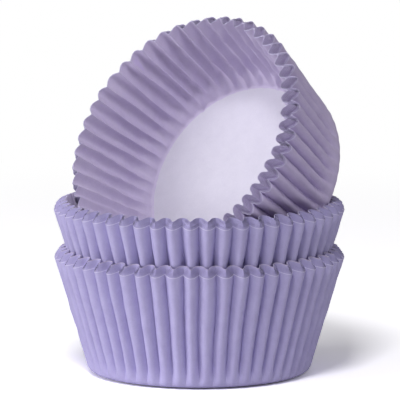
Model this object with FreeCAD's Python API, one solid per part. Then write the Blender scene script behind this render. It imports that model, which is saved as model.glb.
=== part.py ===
# Stack of cupcake liners: three nests of pleated paper cups.
# Millimetres, Z up, origin on the table under the middle of the lower nest.
# A nest is a tight pack of liners and is one solid, as a book's pages are.
import FreeCAD, Part
import math
import os

os.makedirs("parts", exist_ok=True)
doc = FreeCAD.newDocument("cupcake_liners")

# Every size of the stack, by name.
SIZES = [
    # the upright nests
    ("base_radius", 25.0),        # where the wall line meets the table
    ("rim_radius", 33.16),        # outer pleat ridges at the rim
    ("wall_height", 26.7),        # rim of the outermost liner
    # the tipped nest, which the mouth that holds it squeezes out of shape
    ("rim_squeeze", 2.0),         # its rim's radius is this much less
    ("base_swell", 0.8),          # its base's radius this much more
    ("height_loss", 0.95),        # and its wall this much lower
    # one pleat
    ("pleat_count", 52),
    ("pleat_depth", 2.3),         # ridge to crease at the rim, on one sheet
    ("ridge_round", 1.6),         # radius of a pleat's ridge
    ("flank_angle", 60.0),        # how far a ridge curves round, each way
    ("fade_start", 2.6),          # the pleats begin here above the base
    ("fade_height", 4.0),         # and are full this much higher
    # the pack of liners
    ("pack_thickness", 1.5),      # across all sheets, square to a flank
    ("floor_stack", 5.0),         # the loose pile of the liners' floors
    ("rim_rise", 1.75),           # innermost liner's rim above the outermost's
    ("corner_round", 2.15),       # base corner, outside
    ("inner_corner", 1.1),        # base corner, inside
    ("floor_inset", 1.0),         # inside corner's distance from the pleats
    # how the nests stand
    ("nest_bite", 0.47),          # the middle nest's ridges sink this far between the lower one's
    ("mouth_bite", 0.7),          # and the tipped nest's between the mouth's
    ("tipped_x", 11.2),           # middle of the tipped nest's base
    ("tipped_y", 12.6),
    ("tipped_turn", 41.0),        # its mouth points this far left of the front
    ("tipped_lift", 31.1),        # and this far above level
    ("tipped_roll", 3.8),         # its pleats' turn about its own axis
    ("tipped_spread", 0.13),      # its pleats open at the top and close below
    ("tipped_open_side", 128.1),  # the angle round it where they are most open
]

sheet = doc.addObject("Spreadsheet::Sheet", "sizes")
for row, (name, value) in enumerate(SIZES, start=1):
    sheet.set("A%d" % row, name)
    sheet.set("B%d" % row, str(value))
    sheet.setAlias("B%d" % row, name)
doc.recompute()

base_radius = sheet.get("base_radius")
rim_radius = sheet.get("rim_radius")
wall_height = sheet.get("wall_height")
pleats = int(sheet.get("pleat_count"))
depth = sheet.get("pleat_depth")
ridge = sheet.get("ridge_round")
flank = math.radians(sheet.get("flank_angle"))
pack = sheet.get("pack_thickness")
ARC_STEPS = (-1.0, -1.0 / 3.0, 1.0 / 3.0, 1.0)   # points along one rounded ridge
CORNER_STEPS = 3                                 # facets round the base corner
SEAT_STEPS = 24                                  # points along the wall that feel for the mouth


def outer_section(rim):
    """One turn of the outermost sheet at the rim: (angle, radius) points.

    Each pleat is a sharp crease, then a ridge of ARC_STEPS points.
    """
    points = []
    pitch = 2.0 * math.pi / pleats
    for i in range(pleats):
        points.append((i * pitch, rim - depth))
        for step in ARC_STEPS:
            across = ridge * math.sin(step * flank)
            out = rim - ridge + ridge * math.cos(step * flank)
            points.append(((i + 0.5) * pitch + math.atan2(across, out), math.hypot(across, out)))
    return points


def inner_section(rim):
    """One turn of the innermost sheet at the rim: the same pleats, one pack further in.

    Here the creases point outwards and the rounded ridges point inwards.
    """
    points = []
    pitch = 2.0 * math.pi / pleats
    for i in range(pleats):
        points.append(((i - 0.5) * pitch, rim - pack))
        for step in ARC_STEPS:
            across = pack * math.sin(step * flank)
            out = rim - depth - pack * math.cos(step * flank)
            points.append((i * pitch + math.atan2(across, out), math.hypot(across, out)))
    return points


def plain_section(first):
    """The angles of a plain ring with two points to a pleat, from half pitch number first."""
    return [((i + first) * math.pi / pleats, 1.0) for i in range(2 * pleats)]


def triangle(a, b, c):
    return Part.Face(Part.makePolygon([a, b, c, a]))


def quads(lower, upper):
    """Flat four-sided faces between two rings with the same number of points."""
    faces = []
    for i in range(len(lower)):
        j = (i + 1) % len(lower)
        corners = [lower[i][1], lower[j][1], upper[j][1], upper[i][1]]
        faces.append(Part.Face(Part.makePolygon(corners + corners[:1])))
    return faces


def zipped(lower, upper):
    """Triangles between two rings with different points, in the order of their angles."""
    faces = []
    i = 0
    j = 0
    turn = 2.0 * math.pi
    while i < len(lower) or j < len(upper):
        a = lower[i % len(lower)][1]
        b = upper[j % len(upper)][1]
        next_lower = lower[(i + 1) % len(lower)][0] + turn * ((i + 1) // len(lower))
        next_upper = upper[(j + 1) % len(upper)][0] + turn * ((j + 1) // len(upper))
        if j >= len(upper) or (i < len(lower) and next_lower <= next_upper + 1e-9):
            faces.append(triangle(a, lower[(i + 1) % len(lower)][1], b))
            i += 1
        else:
            faces.append(triangle(a, upper[(j + 1) % len(upper)][1], b))
            j += 1
    return faces


def disc(points):
    corners = [point for angle, point in points]
    return Part.Face(Part.makePolygon(corners + corners[:1]))


def nest_solid(base, rim, height, spread, open_side):
    """A nest standing on z = 0, as one closed solid.

    spread is how far the pleats open on the open side, as a part of their width.
    """
    rise = sheet.get("rim_rise")
    floor = sheet.get("floor_stack")
    fade_start = sheet.get("fade_start")
    fade = sheet.get("fade_height")
    flare = (rim - base) / height
    # all pleat lines meet in one point under the nest, so each face is flat
    meet = -base / flare

    def point(angle, radius, z):
        turned = angle + spread * math.sin(angle - open_side)
        spot = FreeCAD.Vector(radius * math.cos(turned), radius * math.sin(turned), z)
        return (angle, spot)

    def ring(radius, z, first):
        return [point(angle, radius, z) for angle, unit in plain_section(first)]

    def cut(section, lift):
        """The section's points on a cut square to the wall, lift above the outer rim."""
        points = []
        for angle, radius in section:
            z = height + lift + flare * (rim - radius)
            points.append(point(angle, radius * (z - meet) / (height - meet), z))
        return points

    def level(section, z):
        """The section's points carried down the wall to the height z."""
        scale = (z - meet) / (height - meet)
        return [point(angle, radius * scale, z) for angle, radius in section]

    outer = outer_section(rim)
    inner = inner_section(rim)

    # outside: base, rounded corner, fading pleats, full pleats
    turn = math.pi / 2.0 - math.atan(flare)
    corner = sheet.get("corner_round")
    back = corner * math.tan(turn / 2.0)
    rings = []
    for k in range(CORNER_STEPS + 1):
        a = turn * k / CORNER_STEPS
        rings.append(ring(base - back + corner * math.sin(a), corner * (1.0 - math.cos(a)), 0))
    start = ring(base + flare * fade_start, fade_start, 0)
    outer_low = level(outer, fade_start + fade)
    outer_rim = cut(outer, 0.0)
    faces = [disc(rings[0])]
    for k in range(CORNER_STEPS):
        faces += quads(rings[k], rings[k + 1])
    faces += quads(rings[-1], start)
    faces += zipped(start, outer_low)
    faces += quads(outer_low, outer_rim)

    # inside: floor, corner, fading pleats, full pleats
    small = sheet.get("inner_corner")
    full = floor + small + fade * 0.7
    innermost = (rim - depth - pack) * (full - meet) / (height - meet)
    edge = innermost - sheet.get("floor_inset") - small
    floor_ring = ring(edge, floor, -1)
    corner_ring = ring(edge + small, floor + small * 0.8, -1)
    inner_low = level(inner, full)
    inner_rim = cut(inner, rise - flare * pack)
    faces.append(disc(floor_ring))
    faces += quads(floor_ring, corner_ring)
    faces += zipped(corner_ring, inner_low)
    faces += quads(inner_low, inner_rim)

    # the sheets' cut edges, from the outermost liner to the innermost
    last_angle, last_point = outer_rim[-1]
    faces += zipped(inner_rim, [(last_angle - 2.0 * math.pi, last_point)] + outer_rim[:-1])

    shell = Part.makeShell(faces)
    shell.sewShape()
    solid = Part.makeSolid(shell)
    if solid.Volume < 0.0:
        solid.reverse()
    return solid


def seat_height(base, rim, height, turned, bite):
    """How high the middle of the tipped nest's base lies when its ridges rest in the mouth.

    The nest comes down until they are bite deep in the middle nest's inner ridges.
    """
    flare = (rim_radius - base_radius) / wall_height
    meet = step_up - base_radius / flare
    ridges = rim_radius - depth - pack
    rim_level = step_up + wall_height
    top = rim_level + sheet.get("rim_rise") + flare * depth
    points = []
    for k in range(SEAT_STEPS + 1):
        part = k / SEAT_STEPS
        for n in range(4 * SEAT_STEPS):
            a = 2.0 * math.pi * n / (4 * SEAT_STEPS)
            r = base + (rim - base) * part
            spot = FreeCAD.Vector(r * math.cos(a), r * math.sin(a), height * part)
            spot = turned.multVec(spot)
            across = math.hypot(spot.x + sheet.get("tipped_x"), spot.y + sheet.get("tipped_y"))
            points.append((across, spot.z))

    def deepest(z):
        worst = 0.0
        for across, up in points:
            level = z + up
            if level < top:
                inside = ridges * (level - meet) / (rim_level - meet)
                worst = max(worst, min(across - inside, top - level))
        return worst

    low = step_up
    high = top + rim
    while high - low > 0.005:
        z = (low + high) / 2.0
        if deepest(z) > bite:
            low = z
        else:
            high = z
    return high


# The upper nest sinks until its outside ridges meet the lower nest's inside ridges.
flare = (rim_radius - base_radius) / wall_height
step_up = (depth + pack - sheet.get("nest_bite")) / flare

upright = nest_solid(base_radius, rim_radius, wall_height, 0.0, 0.0)
tipped_base = base_radius + sheet.get("base_swell")
tipped_rim = rim_radius - sheet.get("rim_squeeze")
tipped_height = wall_height - sheet.get("height_loss")
squeezed = nest_solid(tipped_base, tipped_rim, tipped_height, sheet.get("tipped_spread"),
                      math.radians(sheet.get("tipped_open_side")))

lower = doc.addObject("Part::Feature", "lower_nest")
lower.Label = "lower_nest"
lower.Shape = upright

middle = doc.addObject("Part::Feature", "middle_nest")
middle.Label = "middle_nest"
middle.Shape = upright
middle.Placement = FreeCAD.Placement(FreeCAD.Vector(0, 0, step_up), FreeCAD.Rotation())

# The tipped nest's own axis is turned from straight up to its lean, then to its side.
tipped = doc.addObject("Part::Feature", "tipped_nest")
tipped.Label = "tipped_nest"
tipped.Shape = squeezed
spin = FreeCAD.Rotation(FreeCAD.Vector(0, 0, 1), sheet.get("tipped_roll"))
lean = FreeCAD.Rotation(FreeCAD.Vector(1, 0, 0), 90.0 - sheet.get("tipped_lift"))
aside = FreeCAD.Rotation(FreeCAD.Vector(0, 0, 1), -sheet.get("tipped_turn"))
turned = aside.multiply(lean).multiply(spin)
tipped_z = seat_height(tipped_base, tipped_rim, tipped_height, turned, sheet.get("mouth_bite"))
tipped.Placement = FreeCAD.Placement(
    FreeCAD.Vector(sheet.get("tipped_x"), sheet.get("tipped_y"), tipped_z), turned)
print("middle nest %.2f up, tipped nest's base %.2f up" % (step_up, tipped_z))

doc.recompute()

for node in (lower, middle, tipped):
    if "Invalid" in node.State or "Error" in node.State:
        raise RuntimeError("%s did not compute" % node.Label)
    if node.Shape.isNull() or not node.Shape.isValid():
        raise RuntimeError("%s is not a valid shape" % node.Label)
    if len(node.Shape.Solids) != 1:
        raise RuntimeError("%s is not one solid" % node.Label)
    node.Shape.exportStep("parts/%s.step" % node.Label)
    box = node.Shape.BoundBox
    print("%s: %.0f mm3, x %.1f..%.1f y %.1f..%.1f z %.1f..%.1f, %d faces" % (
        node.Label, node.Shape.Volume, box.XMin, box.XMax, box.YMin, box.YMax,
        box.ZMin, box.ZMax, len(node.Shape.Faces)))
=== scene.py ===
"""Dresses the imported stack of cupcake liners: three nests of pleated paper cups.

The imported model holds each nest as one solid. Here each nest is its single liners, thin sheets of
dyed paper that lie one inside the other, on a pale floor in soft studio light.
"""
import logging
import math
from dataclasses import dataclass, field, replace
from enum import Enum

import bpy
import numpy as np
from mathutils import Matrix, Vector


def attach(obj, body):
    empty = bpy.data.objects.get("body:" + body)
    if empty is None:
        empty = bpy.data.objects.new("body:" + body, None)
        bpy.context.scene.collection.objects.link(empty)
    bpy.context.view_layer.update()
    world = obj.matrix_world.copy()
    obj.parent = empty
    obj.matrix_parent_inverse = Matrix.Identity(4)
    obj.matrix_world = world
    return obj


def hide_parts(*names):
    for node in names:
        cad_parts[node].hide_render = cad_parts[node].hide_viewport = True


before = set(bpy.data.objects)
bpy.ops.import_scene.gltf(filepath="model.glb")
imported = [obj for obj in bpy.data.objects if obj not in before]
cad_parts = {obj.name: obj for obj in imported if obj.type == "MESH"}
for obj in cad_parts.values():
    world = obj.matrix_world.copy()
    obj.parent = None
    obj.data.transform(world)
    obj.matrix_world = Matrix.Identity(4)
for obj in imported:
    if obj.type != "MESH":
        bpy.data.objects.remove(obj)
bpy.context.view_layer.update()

MM = 0.001
FULL_TURN = 2.0 * math.pi
TINY = 1e-9
IMAGE_WIDTH = 400          # of the photograph, pixels

PAPER = 0.05               # one sheet, mm
LINERS_IN_NEST = 16
LAST = LINERS_IN_NEST - 1  # the innermost liner's number

SECTION_SAMPLES = 70       # points that trace half a pleat before it is resampled
FAN_STEPS = 12             # points that trace a sheet's way round the outer face's sharp crease
CREASE_SHARPNESS = 0.76    # under 1 narrows a pleat's crease and rounds its ridge
BASE_DEPTH_SHARE = 0.74    # a pleat's depth at the base, as a part of its depth at the rim
SAME_PRESS = 0.45          # 0 lays the sheets parallel, 1 gives each one the outermost's own section
FANNED = 4.0               # how far below the rim the sheets come to lie like that, mm
FOLD_SOFTNESS = 0.2        # how wide the outermost sheet's folds are rounded off, mm
PACKED_SOFTNESS = 0.15     # how much wider for each mm further in
EDGE_BAND = 0.15           # how far the pale cut-edge colour reaches down the face from a cut edge, mm
TUCK = 0.1                 # how much tighter the pack is in mid wall than at the rim, mm
SHARP_FOLD = 50.0          # an edge that bends more than this is shaded sharp, degrees

SWAY_RATES = (0.20, 0.34)  # of the pleats' lines, radians for each mm up
CRUMPLES_ROUND = (18, 110)  # how many of them lie round the nest, the second number left out
CRUMPLE_SLANTS = (0.4, 1.8)  # radians for each mm up
CUT_WAVES = 3              # waves in the line of a cut edge
CUT_LIFTS = (-1.2, 0.3)    # how low or high a hidden edge is cut, in parts of rim_jitter
RISES = (0.4, 1.6)         # of one rim above the next one out, against their mean
LEAST_GAP = 0.8            # what every gap in the pack has before its random part

FLOOR_RING_SPACING = 0.7   # under 1 sets a floor's rings closer towards its edge
CORNER_GROWTH = 1.5        # over 1 lets the pleats start late in the base corner
WALL_ROW_SPACING = 1.25    # over 1 sets the wall's rows closer towards its foot
INNER_ROW_SPACING = 0.3    # and this much more so for the innermost liner


def linear(hex_colour: str) -> tuple[float, float, float, float]:
    """Turn an sRGB hex colour into linear values.

    Args:
        hex_colour: Six hex digits, with or without a leading #.

    Returns:
        Linear red, green and blue, with an alpha of 1.
    """
    digits = hex_colour.lstrip("#")
    channels = []
    for start in (0, 2, 4):
        value = int(digits[start:start + 2], 16) / 255.0
        channels.append(value / 12.92 if value <= 0.04045 else ((value + 0.055) / 1.055) ** 2.4)
    return channels[0], channels[1], channels[2], 1.0


def add_node(tree: bpy.types.NodeTree, kind: str, settings: dict | None = None,
             values: dict | None = None, links: dict | None = None) -> bpy.types.Node:
    """Add one shader node with its settings, its socket values and its incoming links.

    Args:
        tree: The node tree that gets the node.
        kind: The node's Blender type name.
        settings: Node properties by name.
        values: Values of input sockets, by socket name or number.
        links: Output sockets that feed input sockets, by socket name or number.

    Returns:
        The new node.
    """
    node = tree.nodes.new(kind)
    for name, value in (settings or {}).items():
        setattr(node, name, value)
    for name, value in (values or {}).items():
        node.inputs[name].default_value = value
    for name, source in (links or {}).items():
        tree.links.new(source, node.inputs[name])
    return node


def new_material(name: str) -> bpy.types.Material:
    """Start a material whose node tree is empty."""
    made = bpy.data.materials.new(name)
    made.use_nodes = True
    made.node_tree.nodes.clear()
    return made


def per_metre(size_mm: float) -> float:
    """Give the texture scale at which one pattern feature is size_mm across."""
    return 1.0 / (size_mm * MM)


def between(first: float, second: float, share: float) -> float:
    """Give the value that lies this share of the way from the first one to the second."""
    return first * (1.0 - share) + second * share


@dataclass(frozen=True)
class DyedGreaseproofPaper:
    """Greaseproof paper, dyed in the pulp and pressed into pleats.

    It looks matt and dry, with a faint cloudiness from uneven pulp and small ripples from the press.
    """

    name: str = "Dyed greaseproof paper, pressed"
    deep_colour: str = "#b0a7d4"
    pale_colour: str = "#bdb6df"
    roughness: float = 0.58
    ior: float = 1.47
    cloud_mm: float = 3.0            # cloudiness of the pulp
    fibre_mm: float = 0.35           # fibres, drawn coarser than the real 0.02 mm so that they show
    fibre_share: float = 0.35        # of the fibres in the colour, and the rest is cloudiness
    fibre_strength: float = 0.18
    fibre_height_mm: float = 0.03
    ripple_mm: float = 1.6           # small ripples left by the press
    ripple_strength: float = 0.32
    ripple_height_mm: float = 0.12

    def material(self) -> bpy.types.Material:
        """Build the paper's material.

        Returns:
            The new material.
        """
        made = new_material(self.name)
        tree = made.node_tree
        where = add_node(tree, "ShaderNodeTexCoord")
        cloud = add_node(tree, "ShaderNodeTexNoise",
                         values={"Scale": per_metre(self.cloud_mm), "Detail": 3.0, "Roughness": 0.6},
                         links={"Vector": where.outputs["Object"]})
        fibre = add_node(tree, "ShaderNodeTexNoise",
                         values={"Scale": per_metre(self.fibre_mm), "Detail": 2.0},
                         links={"Vector": where.outputs["Object"]})
        both = add_node(tree, "ShaderNodeMix", settings={"data_type": "FLOAT"},
                        values={0: self.fibre_share},
                        links={2: cloud.outputs["Fac"], 3: fibre.outputs["Fac"]})
        spread = add_node(tree, "ShaderNodeMapRange",
                          values={"From Min": 0.3, "From Max": 0.7},
                          links={"Value": both.outputs[0]})
        colour = add_node(tree, "ShaderNodeMix", settings={"data_type": "RGBA"},
                          values={6: linear(self.deep_colour), 7: linear(self.pale_colour)},
                          links={0: spread.outputs["Result"]})
        ripple = add_node(tree, "ShaderNodeTexNoise",
                          values={"Scale": per_metre(self.ripple_mm), "Detail": 2.0},
                          links={"Vector": where.outputs["Object"]})
        rippled = add_node(tree, "ShaderNodeBump",
                           values={"Strength": self.ripple_strength,
                                   "Distance": self.ripple_height_mm * MM},
                           links={"Height": ripple.outputs["Fac"]})
        grained = add_node(tree, "ShaderNodeBump",
                           values={"Strength": self.fibre_strength,
                                   "Distance": self.fibre_height_mm * MM},
                           links={"Height": fibre.outputs["Fac"],
                                  "Normal": rippled.outputs["Normal"]})
        surface = add_node(tree, "ShaderNodeBsdfPrincipled",
                           values={"Roughness": self.roughness, "IOR": self.ior},
                           links={"Base Color": colour.outputs[2],
                                  "Normal": grained.outputs["Normal"]})
        add_node(tree, "ShaderNodeOutputMaterial", links={"Surface": surface.outputs["BSDF"]})
        return made


@dataclass(frozen=True)
class CutPaperEdge:
    """The guillotined edge of the same paper.

    It is drawn paler than the sheet's face, and so is a thin band beside it on open sheets, as a fine
    line along each rim.
    """

    name: str = "Cut paper edge, raw"
    colour: str = "#d9d3ee"
    roughness: float = 0.85
    fibre_mm: float = 0.3            # drawn coarser than the real 0.02 mm so that they show
    fibre_strength: float = 0.3
    fibre_height_mm: float = 0.03

    def material(self) -> bpy.types.Material:
        """Build the cut edge's material.

        Returns:
            The new material.
        """
        made = new_material(self.name)
        tree = made.node_tree
        where = add_node(tree, "ShaderNodeTexCoord")
        fibre = add_node(tree, "ShaderNodeTexNoise",
                         values={"Scale": per_metre(self.fibre_mm), "Detail": 2.0},
                         links={"Vector": where.outputs["Object"]})
        rough = add_node(tree, "ShaderNodeBump",
                         values={"Strength": self.fibre_strength,
                                 "Distance": self.fibre_height_mm * MM},
                         links={"Height": fibre.outputs["Fac"]})
        surface = add_node(tree, "ShaderNodeBsdfPrincipled",
                           values={"Base Color": linear(self.colour), "Roughness": self.roughness},
                           links={"Normal": rough.outputs["Normal"]})
        add_node(tree, "ShaderNodeOutputMaterial", links={"Surface": surface.outputs["BSDF"]})
        return made


@dataclass(frozen=True)
class NestFinishes:
    """The materials of one nest."""

    outside: bpy.types.Material      # the outermost sheet and the ones in the pack
    inside: bpy.types.Material       # the innermost sheet, in a paler, greyer copy: painted light
    floor: bpy.types.Material        # the innermost sheet's floor, near white: painted light
    cut: bpy.types.Material          # a cut edge that lies open
    packed_cut_painted_shade: bpy.types.Material   # the cut edges in the pack, darker: painted shade from the gaps between sheets


@dataclass(frozen=True)
class Fineness:
    """How finely one liner is meshed."""

    half_pleat: int      # points along half a pleat
    wall_rows: int       # rows up the pleated wall
    corner_rows: int     # rows round the base corner
    floor_rings: int     # rings across the floor


class Place(Enum):
    """Where a liner lies in its nest, with the fineness that its place needs."""

    OUTERMOST = Fineness(half_pleat=7, wall_rows=12, corner_rows=4, floor_rings=3)
    HIDDEN = Fineness(half_pleat=4, wall_rows=5, corner_rows=1, floor_rings=1)
    INNERMOST = Fineness(half_pleat=7, wall_rows=17, corner_rows=2, floor_rings=4)


def outer_section(part: np.ndarray, depth: float) -> np.ndarray:
    """Trace a nest's outer face from its sharp crease, part 0, to its rounded ridge, part 1."""
    return depth * (1.0 - np.sin(0.5 * math.pi * part) ** CREASE_SHARPNESS)


def parallel_section(depth: float, half_pitch: float, inset: float) -> np.ndarray:
    """Trace a sheet that runs parallel to the outer face, at even steps across half a pleat.

    Args:
        depth: Ridge to crease on the nest's outer face, mm.
        half_pitch: Crease to ridge along the wall, mm.
        inset: How far the sheet's face lies inside the nest's outer face, mm.

    Returns:
        The distance in from the ridge line at each step, mm.
    """
    part = np.linspace(0.0, 1.0, SECTION_SAMPLES)
    x = part * half_pitch
    d = outer_section(part, depth)
    dx = np.gradient(x)
    dd = np.gradient(d)
    size = np.hypot(dx, dd)
    nx = -dd / size
    nd = dx / size
    nx[-1] = 0.0
    nd[-1] = 1.0
    # the sheet fans round the sharp crease first, and then follows the flank
    fan = np.linspace(0.0, math.atan2(nx[0], nd[0]), FAN_STEPS)[:-1]
    px = np.concatenate([inset * np.sin(fan), x + inset * nx])
    pd = np.concatenate([d[0] + inset * np.cos(fan), d + inset * nd])
    # it ends under the ridge, where it meets its own mirror image
    past = max(np.nonzero(px >= half_pitch - TINY)[0][0], 1)
    share = (half_pitch - px[past - 1]) / max(px[past] - px[past - 1], TINY)
    end = pd[past - 1] + (pd[past] - pd[past - 1]) * share
    across = np.linspace(0.0, half_pitch, SECTION_SAMPLES)
    return np.interp(across, np.append(px[:past], half_pitch), np.append(pd[:past], end))


def half_pleat(depth: float, half_pitch: float, inset: float, alike: float,
               count: int) -> tuple[np.ndarray, np.ndarray]:
    """Trace one sheet across half a pleat, from its crease to its ridge.

    The nest's outer face is a sharp crease and a rounded ridge. A sheet further in that runs parallel
    to it has a rounder crease and a sharper ridge. One that was only moved in keeps the same form.

    Args:
        depth: Ridge to crease on the nest's outer face, mm.
        half_pitch: Crease to ridge along the wall, mm.
        inset: How far the sheet's face lies inside the nest's outer face, mm.
        alike: 0 for a sheet that runs parallel, 1 for one that was only moved in.
        count: Steps along the half pleat.

    Returns:
        For each of count + 1 points, the part of the half pitch from the crease, and the distance in
        from the ridge line, mm.
    """
    across = np.linspace(0.0, half_pitch, SECTION_SAMPLES)
    moved_in = inset + outer_section(across / half_pitch, depth)
    inward = parallel_section(depth, half_pitch, inset) * (1.0 - alike) + moved_in * alike
    # round the fold off at both ends, where the section goes on as its own mirror image
    softness = FOLD_SOFTNESS + PACKED_SOFTNESS * inset
    width = max(int(round(softness / half_pitch * SECTION_SAMPLES / 2.0)), 1)
    mirrored = np.concatenate([inward[width:0:-1], inward, inward[-2:-width - 2:-1]])
    inward = np.convolve(mirrored, np.full(2 * width + 1, 1.0 / (2 * width + 1)), mode="valid")
    along = np.concatenate([[0.0], np.cumsum(np.hypot(np.diff(across), np.diff(inward)))])
    even = np.linspace(0.0, along[-1], count + 1)
    return np.interp(even, along, across) / half_pitch, np.interp(even, along, inward)


@dataclass
class PressUnevenness:
    """Small faults that the press leaves in a whole nest.

    All its sheets are moved by the same rule, so that they keep close to their places in the pack.
    Only the crumples differ: the innermost sheet's are deeper, and a hidden one has just their mean.
    """

    seed: int
    pleats: int
    height: float
    wear: float
    pleat_shift: float = 0.05      # how far a pleat lies off its place, as a part of its width
    placed_by: float = 1.0 / 3.0   # the part of the wall's height from which it lies that far off
    sway: float = 0.045            # how far its line sways on the way up, as a part of its width
    ridge_loss: float = 0.10       # how much lower a ridge may be, mm
    crease_loss: float = 0.12      # how much shallower a crease may be, mm
    rim_wave: float = 0.16         # how far the rim dips and rises, mm
    rim_waves: int = 4
    crumple: float = 0.045         # shallow crumples in the wall, mm
    inner_crumple: float = 0.055   # crumples of the innermost sheet, which has room for them, mm
    crumple_waves: int = 9         # slanting waves that add up to the crumples
    crumple_spread: float = 0.45   # how much the outermost sheet's crumples vary about their mean
    crumple_foot: float = 2.0      # how high above the base they begin, mm
    crumple_growth: float = 6.0    # the height over which they grow, mm
    crumple_rim: float = 2.5       # how far below the rim they fade out, mm
    pinch: float = 0.0             # how much deeper creases are where another nest's rim holds it, mm
    pinch_height: float = 0.0      # height of that rim above the nest's base, mm
    pinch_reach: float = 3.4       # how far it reaches up and down, mm

    def __post_init__(self) -> None:
        """Draw the nest's random values."""
        draw = np.random.default_rng(self.seed)
        self.shifts = draw.uniform(-1.0, 1.0, self.pleats) * self.pleat_shift
        self.twists = draw.uniform(-1.0, 1.0, self.pleats) * self.pleat_shift
        self.sways = draw.uniform(-1.0, 1.0, self.pleats) * self.sway * self.wear
        self.sway_rates = draw.uniform(*SWAY_RATES, self.pleats)
        self.sway_phases = draw.uniform(0.0, FULL_TURN, self.pleats)
        self.ridge_losses = draw.uniform(0.0, 1.0, self.pleats) * self.ridge_loss
        self.crease_losses = draw.uniform(0.0, 1.0, self.pleats) ** 2 * self.crease_loss * self.wear
        self.rim_phases = draw.uniform(0.0, FULL_TURN, self.rim_waves)
        # each wave's number of turns round the nest, its slant for each mm up, and its phase
        self.crumples = [(int(draw.integers(*CRUMPLES_ROUND)), draw.uniform(*CRUMPLE_SLANTS),
                          draw.uniform(0.0, 6.3)) for _ in range(self.crumple_waves)]

    def shift_at(self, crease: np.ndarray, z: np.ndarray, up: np.ndarray) -> np.ndarray:
        """Give how far the creases of these numbers lie off their places.

        Args:
            crease: The creases' numbers, which may run on past the last one.
            z: The heights, mm.
            up: The same heights as parts of the wall's height.

        Returns:
            The shifts, as parts of a pleat's width.
        """
        k = crease % self.pleats
        return (self.shifts[k] + up * self.twists[k]
                + self.sways[k] * np.sin(self.sway_rates[k] * z + self.sway_phases[k]))

    def dents_at(self, angle: np.ndarray, z: np.ndarray, hidden: bool, innermost: bool) -> np.ndarray:
        """Give how far the crumples press a sheet in.

        Args:
            angle: Angles round the nest, radians.
            z: Heights, mm.
            hidden: Whether the sheet lies inside the pack, where it has no crumples, only their mean.
            innermost: Whether it is the innermost sheet, whose crumples are deeper.

        Returns:
            The distances in, mm.
        """
        waves = np.zeros_like(angle)
        if not hidden:
            for turns_round, per_mm, phase in self.crumples:
                waves += np.sin(turns_round * angle + per_mm * z + phase)
        dents = self.crumple * (1.0 + waves * self.crumple_spread)
        if innermost:
            dents = self.crumple + self.inner_crumple * np.maximum(waves, 0.0)
        grown = np.clip((z - self.crumple_foot) / self.crumple_growth, 0.0, 1.0)
        return dents * self.wear * grown * np.clip((self.height - z) / self.crumple_rim, 0.0, 1.0)

    def moved(self, angle: np.ndarray, radius: np.ndarray, z: np.ndarray, hidden: bool,
              innermost: bool) -> tuple[np.ndarray, np.ndarray, np.ndarray]:
        """Move points of the nest by its faults.

        Args:
            angle: Angles round the nest, radians.
            radius: Distances from its axis, mm.
            z: Heights, mm.
            hidden: Whether the points' sheet lies inside the pack.
            innermost: Whether it is the innermost sheet.

        Returns:
            The moved angles, radii and heights.
        """
        pitch = FULL_TURN / self.pleats
        turns = angle / pitch
        low = np.floor(turns + TINY).astype(int)
        part = turns - low
        up = np.clip(z / self.height, 0.0, 1.1)
        shift = self.shift_at(low, z, up) * (1.0 - part) + self.shift_at(low + 1, z, up) * part
        ridge = 0.5 * (1.0 - np.cos(FULL_TURN * part))
        nearest = np.where(part < 0.5, low, low + 1) % self.pleats
        loss = (self.ridge_losses[low % self.pleats] * ridge
                - self.crease_losses[nearest] * (1.0 - ridge)) * up
        held = np.exp(-((z - self.pinch_height) / self.pinch_reach) ** 2)
        loss += self.pinch * (1.0 - ridge) ** 2 * held
        rim = sum(np.sin((2 + 3 * n) * angle + phase) for n, phase in enumerate(self.rim_phases))
        return (angle + shift * pitch * np.clip(up / self.placed_by, 0.0, 1.0),
                radius - loss - self.dents_at(angle, z, hidden, innermost),
                z + self.rim_wave * up ** 2 * (rim / self.rim_waves - 0.5))


@dataclass(frozen=True)
class FaceLayout:
    """How one face of a liner turns from its floor into its wall, in mm and radians."""

    liner: int           # its number, 0 for the outermost
    place: Place
    depth_in: float      # the liner's place in the pack, 0 outermost to 1 innermost
    skin: float          # how far the face lies inside the liner's outer face
    inset: float         # how far it lies inside the nest's outer face
    gap: float           # how far the wall's foot stands in from its ridges
    bend: float          # the angle between floor and wall
    floor_r: float       # where the floor ends
    floor_z: float
    edge_z: float        # how high its edge lies
    wall_r: float        # where the wall begins
    wall_z: float
    start: float         # how deep the pleats are there, 0 to 1


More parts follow.
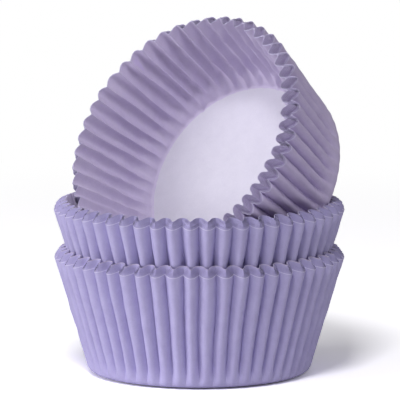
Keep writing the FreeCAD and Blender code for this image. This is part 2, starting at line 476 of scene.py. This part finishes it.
@dataclass
class Nest:
    """One tight nest of pleated liners, pressed into each other. Sizes are in mm, angles in degrees."""

    node: str
    seed: int
    lift: float = 0.0                  # height of its base
    base_radius: float = 25.0
    rim_radius: float = 33.1
    wall_height: float = 26.7
    pleats: int = 52
    pleat_depth: float = 2.3
    pack: float = 1.5                  # across all sheets
    floor_stack: float = 5.0           # the loose pile of floors
    rim_rise: float = 1.75             # innermost rim above the outermost
    corner_round: float = 2.15
    inner_floor_radius: float = 22.2
    inner_corner_rise: float = 0.25
    inner_foot: float = 0.5            # how far the innermost wall's foot stands in from its pleats
    outer_fade: float = 3.4            # height over which the outermost pleats grow out of the corner
    inner_fade: float = 4.5            # and the innermost ones out of the floor
    outer_start: float = 0.35          # how deep the outermost pleats are at the corner's top, 0 to 1
    inner_start: float = 0.15          # and the innermost ones
    edge_rise: float = 0.35            # how far the base's edge stands off the ground
    rim_jitter: float = 0.12           # how unevenly the sheets are cut
    wear: float = 1.0                  # how much stronger its faults are than a fresh nest's
    pinch: float = 0.0                 # how much deeper its creases are where another rim holds it
    pinch_height: float = 0.0          # the height of that rim above its base
    clumping: float = 1.5              # over 1 gathers the sheets into clumps with gaps between
    spread: float = 0.0                # how much wider its pleats lie at the open side, as a part
    open_side: float = 0.0             # and that side's direction
    slide: float = 0.0                 # how far the innermost rim has slid to one side
    stretched: float = 0.0             # how far the pleats of that side are pulled alike, 0 to 1
    slide_side: float = 0.0            # and that side's direction
    placing: Matrix = field(default_factory=Matrix)

    def __post_init__(self) -> None:
        """Work out the flare, the nest's faults and how its sheets lie in the pack."""
        self.flare = (self.rim_radius - self.base_radius) / self.wall_height
        self.faults = PressUnevenness(self.seed, self.pleats, self.wall_height, self.wear,
                                      pinch=self.pinch, pinch_height=self.pinch_height)
        draw = np.random.default_rng(self.seed + 100)
        self.cut_phases = draw.uniform(0.0, FULL_TURN, (LINERS_IN_NEST, CUT_WAVES))
        self.cut_lifts = draw.uniform(*CUT_LIFTS, LINERS_IN_NEST)
        # the sheets cling together in small clumps, with wider gaps between the clumps
        gaps = draw.exponential(1.0, LAST) ** self.clumping + LEAST_GAP / self.clumping ** 2
        gaps *= (self.pack - LINERS_IN_NEST * PAPER) / gaps.sum()
        self.layers = np.concatenate([[0.0], np.cumsum(gaps + PAPER)])
        rises = draw.uniform(*RISES, LAST)
        self.rises = np.concatenate([[0.0], np.cumsum(rises)]) * self.rim_rise / rises.sum()

    def turned(self, angle: np.ndarray, radius: np.ndarray, z: np.ndarray, liner: int) -> np.ndarray:
        """Apply the nest's faults, its opened side and its slide.

        Args:
            angle: Angles round the nest, radians.
            radius: Distances from its axis, mm.
            z: Heights, mm.
            liner: The points' liner, 0 for the outermost.

        Returns:
            The points in space, one row each, mm.
        """
        angle, radius, z = self.faults.moved(angle, radius, z, 0 < liner < LAST, liner == LAST)
        angle = angle + self.spread * np.sin(angle - math.radians(self.open_side))
        side = math.radians(self.slide_side)
        up = np.clip(z / self.wall_height, 0.0, 1.0)
        slid = self.slide * self.layers[liner] / self.layers[-1] * up
        return np.stack([radius * np.cos(angle) + slid * math.cos(side),
                         radius * np.sin(angle) + slid * math.sin(side), z], axis=1)

    def ring(self, parts: np.ndarray, inward: np.ndarray, z: np.ndarray, liner: int) -> np.ndarray:
        """Lay one closed ring of points round the nest.

        Args:
            parts: Where the points of each pleat lie, from 0 at a crease to 1 at the next, one row
                for each pleat.
            inward: Distance of each point in from the ridge line, mm.
            z: Height of each point, mm, before the nest's faults.
            liner: The ring's liner, 0 for the outermost.

        Returns:
            The ring's points, one row each, mm.
        """
        angle = (np.arange(self.pleats)[:, None] + parts) * FULL_TURN / self.pleats
        radius = self.base_radius + self.flare * z - inward
        return self.turned(angle.ravel(), radius.ravel(), z.ravel(), liner)

    def plain_ring(self, radius: float, z: float, liner: int, place: Place) -> np.ndarray:
        """Lay a round ring with as many points as a pleated one.

        Args:
            radius: The ring's radius, mm.
            z: Its height, mm.
            liner: Its liner, 0 for the outermost.
            place: Where the liner lies in the nest.

        Returns:
            The ring's points, one row each, mm.
        """
        count = 2 * place.value.half_pleat
        parts = np.arange(count)[None, :] / count
        angle = ((np.arange(self.pleats)[:, None] + parts) * FULL_TURN / self.pleats).ravel()
        return self.turned(angle, np.full_like(angle, radius), np.full_like(angle, z), liner)

    def section(self, level: float, inset: float, fanned: float,
                count: int) -> tuple[np.ndarray, np.ndarray]:
        """Trace one sheet across every pleat at one height.

        Args:
            level: The height, mm.
            inset: How far the sheet's face lies inside the nest's outer face, mm.
            fanned: 1 at the rim, where the sheets lie parallel, to 0 well below it.
            count: Steps along half a pleat.

        Returns:
            For each pleat, and each point across half of it, its part of the half pleat and its
            distance in from the ridge line, mm.
        """
        half_pitch = math.pi * (self.base_radius + self.flare * level) / self.pleats
        depth = self.pleat_depth * between(BASE_DEPTH_SHARE, 1.0, min(level / self.wall_height, 1.0))
        middles = (np.arange(self.pleats) + 0.5) * FULL_TURN / self.pleats
        opened = self.stretched * (0.5 + 0.5 * np.cos(middles - math.radians(self.slide_side)))
        alike = np.maximum(opened, SAME_PRESS * (1.0 - fanned))[:, None]
        both = [half_pleat(depth, half_pitch, inset, end, count) for end in (0.0, 1.0)]
        part, inward = [parallel + (moved_in - parallel) * alike for parallel, moved_in in zip(*both)]
        return part, inward

    def across(self, part: np.ndarray) -> np.ndarray:
        """Turn parts of half a pleat into parts of the whole pleat, one row for each pleat."""
        return np.concatenate([part[:, :-1] / 2.0, 1.0 - part[:, :0:-1] / 2.0], axis=1)

    def mirrored(self, inward: np.ndarray) -> np.ndarray:
        """Carry the distances of half a pleat on over its other half."""
        return np.concatenate([inward[:, :-1], inward[:, :0:-1]], axis=1)

    def cut_line(self, liner: int, parts: np.ndarray) -> np.ndarray:
        """Give how far a liner's cut edge lies above or below its place, round the rim.

        Args:
            liner: The liner's number, 0 for the outermost.
            parts: Where the points of each pleat lie, one row for each pleat.

        Returns:
            The distances up, mm.
        """
        angle = (np.arange(self.pleats)[:, None] + parts) * FULL_TURN / self.pleats
        waves = sum(np.sin((n + 2) * angle + phase) for n, phase in enumerate(self.cut_phases[liner]))
        inside = 0.0 if liner == 0 else self.cut_lifts[liner]
        return self.rim_jitter * (inside + waves / (2.0 * CUT_WAVES) - 0.5)

    def layout(self, liner: int, skin: float, place: Place) -> FaceLayout:
        """Work out how one face of a liner turns from its floor into its wall.

        Args:
            liner: The liner's number, 0 for the outermost.
            skin: How far this face lies inside the liner's outer face, mm.
            place: Where the liner lies in the nest.

        Returns:
            The face's layout.
        """
        depth_in = self.layers[liner] / self.layers[-1]
        inset = self.layers[liner] + skin
        bend = math.pi / 2.0 - math.atan(self.flare)
        back = self.corner_round * math.tan(bend / 2.0)
        gap = self.pleat_depth * BASE_DEPTH_SHARE
        if place is not Place.HIDDEN:
            gap = (gap + self.inner_foot) * depth_in
        floor_z = (self.floor_stack - PAPER) * depth_in + skin
        wall_z = between(back * math.cos(math.atan(self.flare)),
                         self.floor_stack + self.inner_corner_rise, depth_in)
        return FaceLayout(
            liner=liner, place=place, depth_in=depth_in, skin=skin, inset=inset, gap=gap, bend=bend,
            floor_r=between(self.base_radius - back, self.inner_floor_radius, depth_in) - skin,
            floor_z=floor_z,
            edge_z=floor_z + between(self.edge_rise, 0.0, depth_in),
            wall_r=self.base_radius + self.flare * wall_z - inset - gap,
            wall_z=wall_z,
            start=between(self.outer_start, self.inner_start, depth_in))

    def floor_rings(self, face: FaceLayout) -> list[np.ndarray]:
        """Lay the rings of a face's floor, innermost first. Its outer half lifts towards the edge.

        Args:
            face: The face's layout.

        Returns:
            The rings.
        """
        rings = []
        count = face.place.value.floor_rings
        for k in range(1, count + 1):
            out = (k / count) ** FLOOR_RING_SPACING
            lifted = max(2.0 * out - 1.0, 0.0) ** 2
            z = face.floor_z + (face.edge_z - face.floor_z) * lifted
            rings.append(self.plain_ring(face.floor_r * out, z, face.liner, face.place))
        return rings

    def corner_rings(self, face: FaceLayout) -> list[np.ndarray]:
        """Lay the rings of a face's base corner, from its floor up to its wall.

        Args:
            face: The face's layout.

        Returns:
            The rings.
        """
        count = face.place.value.half_pleat
        steps = face.place.value.corner_rows + 1
        even = np.linspace(0.0, 1.0, count + 1)
        part, inward = self.section(face.wall_z, face.inset, 0.0, count)
        rings = []
        for k in range(1, steps):
            turned = face.bend * k / steps
            out = math.sin(turned) / math.sin(face.bend)
            rise = (1.0 - math.cos(turned)) / (1.0 - math.cos(face.bend))
            grown = 0.0 if face.place is Place.HIDDEN else face.start * (k / steps) ** CORNER_GROWTH
            z = face.edge_z + (face.wall_z + face.skin - face.edge_z) * rise
            radius = face.floor_r + (face.wall_r - face.floor_r) * out
            flat = self.base_radius + self.flare * z - radius
            rings.append(self.ring(self.across(even + (part - even) * grown),
                                   self.mirrored(flat + (inward - face.inset - face.gap) * grown),
                                   np.full((self.pleats, 2 * count), z), face.liner))
        return rings

    def wall_levels(self, face: FaceLayout, rim: float) -> list[float]:
        """Choose the heights of a face's wall rows.

        An open sheet has one row just under its cut edge. A hidden one has a row at the height where
        another nest's rim holds it.

        Args:
            face: The face's layout.
            rim: The height of the liner's rim, mm.

        Returns:
            The heights, as parts of the wall's height.
        """
        rows = face.place.value.wall_rows
        power = WALL_ROW_SPACING + INNER_ROW_SPACING * face.depth_in
        ups = [(k / rows) ** power for k in range(rows + 1)]
        if face.place is not Place.HIDDEN:
            ups.insert(-1, 1.0 - EDGE_BAND / (rim - face.wall_z))
        elif self.pinch:
            held = (self.pinch_height - face.wall_z) / (rim - face.wall_z)
            nearest = min(range(1, len(ups) - 1), key=lambda k: abs(ups[k] - held))
            ups[nearest] = held
        return ups

    def wall_rings(self, face: FaceLayout) -> list[np.ndarray]:
        """Lay the rings of a face's wall, from its foot to its rim.

        Args:
            face: The face's layout.

        Returns:
            The rings.
        """
        hidden = face.place is Place.HIDDEN
        count = face.place.value.half_pleat
        even = np.linspace(0.0, 1.0, count + 1)
        rim = self.wall_height + self.rises[face.liner]
        fade = between(self.outer_fade, self.inner_fade, face.depth_in)
        flat = face.inset + face.gap
        rings = []
        for up in self.wall_levels(face, rim):
            level = between(face.wall_z, rim, up)
            tuck = 0.0
            if hidden:
                tuck = TUCK * math.sin(math.pi * min(up, 1.0)) * (1.0 - 2.0 * face.depth_in)
            fanned = max(1.0 - (rim - level) / FANNED, 0.0)
            part, inward = self.section(level, face.inset + tuck, fanned, count)
            grown = 1.0
            if not hidden:
                grown = min(max((level - face.wall_z) / fade, 0.0), 1.0)
                grown = between(grown * grown * (3.0 - 2.0 * grown), grown, face.depth_in)
                grown = between(face.start, 1.0, grown)
            parts = self.across(even + (part - even) * grown)
            inward = self.mirrored(flat + (inward - flat) * grown)
            cut = self.flare * (inward - face.inset) + self.cut_line(face.liner, parts)
            z = face.wall_z + (rim + cut - face.wall_z) * up
            rings.append(self.ring(parts, inward, z, face.liner))
        return rings

    def face(self, liner: int, skin: float, place: Place) -> list[np.ndarray]:
        """Lay one face of a liner as rings, from its floor to its rim.

        Args:
            liner: The liner's number, 0 for the outermost.
            skin: How far this face lies inside the liner's outer face, mm.
            place: Where the liner lies in the nest.

        Returns:
            The rings, innermost floor ring first.
        """
        face = self.layout(liner, skin, place)
        return self.floor_rings(face) + self.corner_rings(face) + self.wall_rings(face)

    def liner_mesh(self, liner: int, place: Place) -> tuple[np.ndarray, np.ndarray, np.ndarray]:
        """Build one liner as a closed thin sheet.

        Args:
            liner: The liner's number, 0 for the outermost.
            place: Where it lies in the nest.

        Returns:
            Its points in mm, its four-cornered faces, where a triangle repeats its last corner, and
            each face's finish: 0 for the sheet, 1 for the cut edge with the pale band beside it,
            2 for the floor's upper side, which the innermost liner paints near white as painted light.
        """
        outside = self.face(liner, 0.0, place)
        inside = self.face(liner, PAPER, place)
        rim = len(outside) - 1
        cut_rows = {Place.OUTERMOST: (rim - 1, rim), Place.HIDDEN: (rim,),
                    Place.INNERMOST: (rim, rim + 1)}[place]
        rings = outside + inside[::-1]
        count = len(rings[0])
        centres = [outside[0].mean(axis=0)[None], inside[0].mean(axis=0)[None]]
        here = np.arange(count)
        after = (here + 1) % count
        faces = []
        finish = []
        for k in range(len(rings) - 1):
            low = k * count
            high = low + count
            faces.append(np.stack([low + here, low + after, high + after, high + here], axis=1))
            on_floor = k >= len(rings) - place.value.floor_rings
            finish.append(np.full(count, 1 if k in cut_rows else 2 * on_floor))
        under = len(rings) * count
        last = under - count
        faces.append(np.stack([np.full(count, under), after, here, here], axis=1))
        faces.append(np.stack([np.full(count, under + 1), last + here, last + after, last + after],
                              axis=1))
        finish.append(np.repeat([0, 2], count))
        return np.concatenate(rings + centres), np.concatenate(faces), np.concatenate(finish)

    def piece(self, name: str, liners: list[tuple[int, Place]],
              materials: list[bpy.types.Material]) -> bpy.types.Object:
        """Make one object of one or more liners.

        Args:
            name: The object's name.
            liners: Each liner's number with its place.
            materials: The materials of the sheet, the cut edge and the floor's upper side.

        Returns:
            The new object, linked to the scene.
        """
        points, faces, finishes = [], [], []
        total = 0
        for liner, place in liners:
            more, corners, finish = self.liner_mesh(liner, place)
            points.append(more)
            faces.append(corners + total)
            finishes.append(finish)
            total += len(more)
        spots = np.concatenate(points)
        spots[:, 2] += self.lift
        turn = np.array(self.placing)
        spots = (spots @ turn[:3, :3].T + turn[:3, 3]) * MM
        polygons = [tuple(dict.fromkeys(corners)) for corners in np.concatenate(faces).tolist()]
        mesh = bpy.data.meshes.new(name)
        mesh.from_pydata(spots.tolist(), [], polygons)
        mesh.update()
        for material in materials:
            mesh.materials.append(material)
        mesh.polygons.foreach_set("material_index", np.concatenate(finishes).astype(np.int32))
        mesh.polygons.foreach_set("use_smooth", np.ones(len(polygons), dtype=bool))
        mesh.set_sharp_from_angle(angle=math.radians(SHARP_FOLD))
        made = bpy.data.objects.new(name, mesh)
        bpy.context.scene.collection.objects.link(made)
        return made

    def build(self, finishes: NestFinishes) -> list[bpy.types.Object]:
        """Build the nest's liners and put them in place of its solid.

        Args:
            finishes: The nest's materials.

        Returns:
            The nest's objects.
        """
        outside = finishes.outside
        groups = {
            "outer_liner": ([(0, Place.OUTERMOST)], [outside, finishes.cut, outside]),
            "middle_liners": ([(k, Place.HIDDEN) for k in range(1, LAST)],
                              [outside, finishes.packed_cut_painted_shade, outside]),
            "inner_liner": ([(LAST, Place.INNERMOST)],
                            [finishes.inside, finishes.cut, finishes.floor]),
        }
        made = []
        for name, (liners, materials) in groups.items():
            piece = self.piece(self.node + "_" + name, liners, materials)
            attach(piece, "root")
            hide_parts(self.node)
            made.append(piece)
        return made


@dataclass(frozen=True)
class Softbox:
    """A square lamp with an even face: its power in watts, its size and its place in metres."""

    power: float
    size: float
    place: tuple[float, float, float]


class Lamp(Enum):
    """The lamps: a wide strong one low at the left, a small high one in front, and two weak ones."""

    SIDE = Softbox(power=8.2, size=0.6, place=(-0.95, -0.33, 0.16))
    FRONT = Softbox(power=0.5, size=0.8, place=(-0.45, -1.00, 0.30))
    KEY = Softbox(power=4.7, size=0.24, place=(-0.13, -0.66, 0.86))
    RIGHT = Softbox(power=1.25, size=0.6, place=(0.75, -0.52, 0.45))


@dataclass
class Studio:
    """The pale floor, the soft light and the camera."""

    floor_half: float = 1.6             # half the floor's width, m
    floor_colour: str = "#f2f1f4"
    bounce_colour: str = "#e0dfe6"      # the floor as the paper sees it, so that its light stays low
    floor_gain: float = 1.95            # how far the floor is overexposed, as in the photograph
    white_from: float = 0.15            # from here to white_to the floor turns plain white, m
    white_to: float = 0.35
    fill_strength: float = 0.225
    aim: tuple[float, float, float] = (0.0, 0.0, 0.04)   # the point that the lamps face, m
    camera_focal: float = 5624.7        # in pixels of the photograph's frame
    camera_back: float = 1263.1         # mm
    camera_up: float = 223.4
    camera_right: float = 0.18
    camera_dip: float = 0.14467         # radians below level
    sensor_width: float = 36.0          # mm

    def floor_material(self) -> bpy.types.Material:
        """Build the floor's material: matt backdrop paper, even and without gloss.

        It is overexposed to the camera, so that it looks white and keeps the shadow.

        Returns:
            The new material.
        """
        made = new_material("White backdrop paper, matt")
        tree = made.node_tree
        seen = add_node(tree, "ShaderNodeLightPath").outputs["Is Camera Ray"]
        exposed = tuple(self.floor_gain * channel for channel in linear(self.floor_colour))
        colour = add_node(tree, "ShaderNodeMix", settings={"data_type": "RGBA"},
                          values={6: linear(self.bounce_colour), 7: exposed},
                          links={0: seen})
        lit = add_node(tree, "ShaderNodeBsdfDiffuse", links={"Color": colour.outputs[2]})
        white = add_node(tree, "ShaderNodeEmission", values={"Color": (1.0, 1.0, 1.0, 1.0)},
                         links={"Strength": seen})
        place = add_node(tree, "ShaderNodeNewGeometry")
        distance = add_node(tree, "ShaderNodeVectorMath", settings={"operation": "LENGTH"},
                            links={0: place.outputs["Position"]})
        far = add_node(tree, "ShaderNodeMapRange", settings={"interpolation_type": "SMOOTHSTEP"},
                       values={"From Min": self.white_from, "From Max": self.white_to},
                       links={"Value": distance.outputs["Value"]})
        both = add_node(tree, "ShaderNodeMixShader",
                        links={0: far.outputs["Result"], 1: lit.outputs[0], 2: white.outputs[0]})
        add_node(tree, "ShaderNodeOutputMaterial", links={"Surface": both.outputs[0]})
        return made

    def build_floor(self) -> bpy.types.Object:
        """Lay the floor.

        Returns:
            The floor.
        """
        half = self.floor_half
        mesh = bpy.data.meshes.new("studio_floor")
        mesh.from_pydata([(-half, -half, 0.0), (half, -half, 0.0), (half, half, 0.0), (-half, half, 0.0)],
                         [], [(0, 1, 2, 3)])
        floor = bpy.data.objects.new("studio_floor", mesh)
        bpy.context.scene.collection.objects.link(floor)
        mesh.materials.append(self.floor_material())
        return floor

    def build_light(self) -> None:
        """Hang the lamps and add an even fill, which the camera itself sees as plain white."""
        for place in Lamp:
            lamp = bpy.data.lights.new(place.name.lower() + "_lamp", "AREA")
            lamp.energy = place.value.power
            lamp.size = place.value.size
            hung = bpy.data.objects.new(lamp.name, lamp)
            hung.location = place.value.place
            towards = Vector(self.aim) - hung.location
            hung.rotation_euler = towards.to_track_quat("-Z", "Y").to_euler()
            bpy.context.scene.collection.objects.link(hung)
        world = bpy.data.worlds.new("studio")
        bpy.context.scene.world = world
        world.use_nodes = True
        tree = world.node_tree
        tree.nodes.clear()
        rays = add_node(tree, "ShaderNodeLightPath")
        even = add_node(tree, "ShaderNodeBackground",
                        values={"Color": (1.0, 1.0, 1.0, 1.0), "Strength": self.fill_strength})
        white = add_node(tree, "ShaderNodeBackground",
                         values={"Color": (1.0, 1.0, 1.0, 1.0), "Strength": 1.0})
        mix = add_node(tree, "ShaderNodeMixShader",
                       links={0: rays.outputs["Is Camera Ray"], 1: even.outputs[0], 2: white.outputs[0]})
        add_node(tree, "ShaderNodeOutputWorld", links={"Surface": mix.outputs[0]})

    def build_camera(self) -> bpy.types.Object:
        """Set the camera where the photograph was taken from.

        Returns:
            The camera.
        """
        lens = bpy.data.cameras.new("camera")
        lens.sensor_width = self.sensor_width
        lens.lens = self.camera_focal / IMAGE_WIDTH * lens.sensor_width
        lens.clip_start = 0.05
        lens.clip_end = 20.0
        camera = bpy.data.objects.new("camera", lens)
        camera.location = (self.camera_right * MM, -self.camera_back * MM, self.camera_up * MM)
        camera.rotation_euler = (math.pi / 2.0 - self.camera_dip, 0.0, 0.0)
        bpy.context.scene.collection.objects.link(camera)
        bpy.context.scene.camera = camera
        return camera


@dataclass(frozen=True)
class TippedPlacing:
    """How the tipped nest lies in the mouth of the one below. Places are in mm, angles in degrees."""

    base: tuple[float, float, float] = (11.2, 12.6, 40.53)   # middle of its base
    turn: float = 41.0                                       # its mouth points this far left of front
    lift: float = 31.1                                       # and this far above level
    roll: float = 3.8                                        # its pleats' turn about its own axis

    def matrix(self) -> Matrix:
        """Lean an upright nest over, turn it to its side and set it in the mouth."""
        turned = (Matrix.Rotation(math.radians(-self.turn), 4, "Z")
                  @ Matrix.Rotation(math.radians(90.0 - self.lift), 4, "X")
                  @ Matrix.Rotation(math.radians(self.roll), 4, "Z"))
        return Matrix.Translation(self.base) @ turned


def stack() -> list[Nest]:
    """Describe the three nests, from the lowest up."""
    return [
        Nest(node="lower_nest", seed=3, wear=1.2),
        Nest(node="middle_nest", seed=11, lift=10.9, pinch=1.2, pinch_height=16.8),
        Nest(node="tipped_nest", seed=23, base_radius=25.8, rim_radius=31.1, wall_height=25.75,
             inner_floor_radius=22.85, wear=1.5, pack=1.6, rim_rise=1.65, slide=0.45, stretched=0.9,
             clumping=1.0, outer_start=0.08, outer_fade=7.0, spread=0.13, open_side=128.1,
             slide_side=160.0, placing=TippedPlacing().matrix()),
    ]


def make_finishes() -> tuple[NestFinishes, NestFinishes]:
    """Make the materials.

    Returns:
        The finishes of an upright nest, and of the tipped one with painted light on its outside.
    """
    # greaseproof paper from the press: matt lilac, a little cloudy, with small ripples
    paper = DyedGreaseproofPaper().material()
    # its inner side: paler and greyer, painted light that lifts the cup's shaded inner walls, with the
    # ripples more open
    inner_paper_painted_light = DyedGreaseproofPaper(name="Dyed greaseproof paper, inner side with painted light",
                                       deep_colour="#c6bbd9", pale_colour="#d2c8e2",
                                       ripple_strength=0.6).material()
    # the innermost floor, which the press leaves flat: almost white beside the pleats, painted light for
    # the strong light on it
    floor_paper_painted_light = DyedGreaseproofPaper(name="Dyed greaseproof paper, floor, painted light",
                                      deep_colour="#d1cedc", pale_colour="#d9d6e3").material()
    # a paler, slightly pinker copy for the tipped nest's outside: painted light that lifts its outer wall
    paler_paper_painted_light = DyedGreaseproofPaper(name="Dyed greaseproof paper, faded",
                                       deep_colour="#c5b7dd", pale_colour="#d2c5e8").material()
    # the guillotined edge: a fine pale line where it lies open; among others it is darker, painted shade
    # from the gaps between the sheets
    cut = CutPaperEdge().material()
    packed_cut_painted_shade = CutPaperEdge(name="Cut paper edges, painted shade", colour="#a69fbe").material()
    fresh = NestFinishes(outside=paper, inside=inner_paper_painted_light, floor=floor_paper_painted_light, cut=cut,
                         packed_cut_painted_shade=packed_cut_painted_shade)
    return fresh, replace(fresh, outside=paler_paper_painted_light)


def main() -> None:
    """Build the nests, the studio and the camera, in that order."""
    logging.basicConfig(level=logging.INFO, format="%(message)s")
    log = logging.getLogger("liners")
    fresh, paler_with_painted_light = make_finishes()
    for nest, finishes in zip(stack(), (fresh, fresh, paler_with_painted_light)):
        for piece in nest.build(finishes):
            log.info("%s: %d points, %d faces", piece.name, len(piece.data.vertices),
                     len(piece.data.polygons))
    studio = Studio()
    studio.build_floor()
    studio.build_light()
    camera = studio.build_camera()
    log.info("%s: lens %.0f mm", camera.name, camera.data.lens)
    bpy.context.scene.view_settings.view_transform = "Standard"
    bpy.context.view_layer.update()


if __name__ == "__main__":
    main()
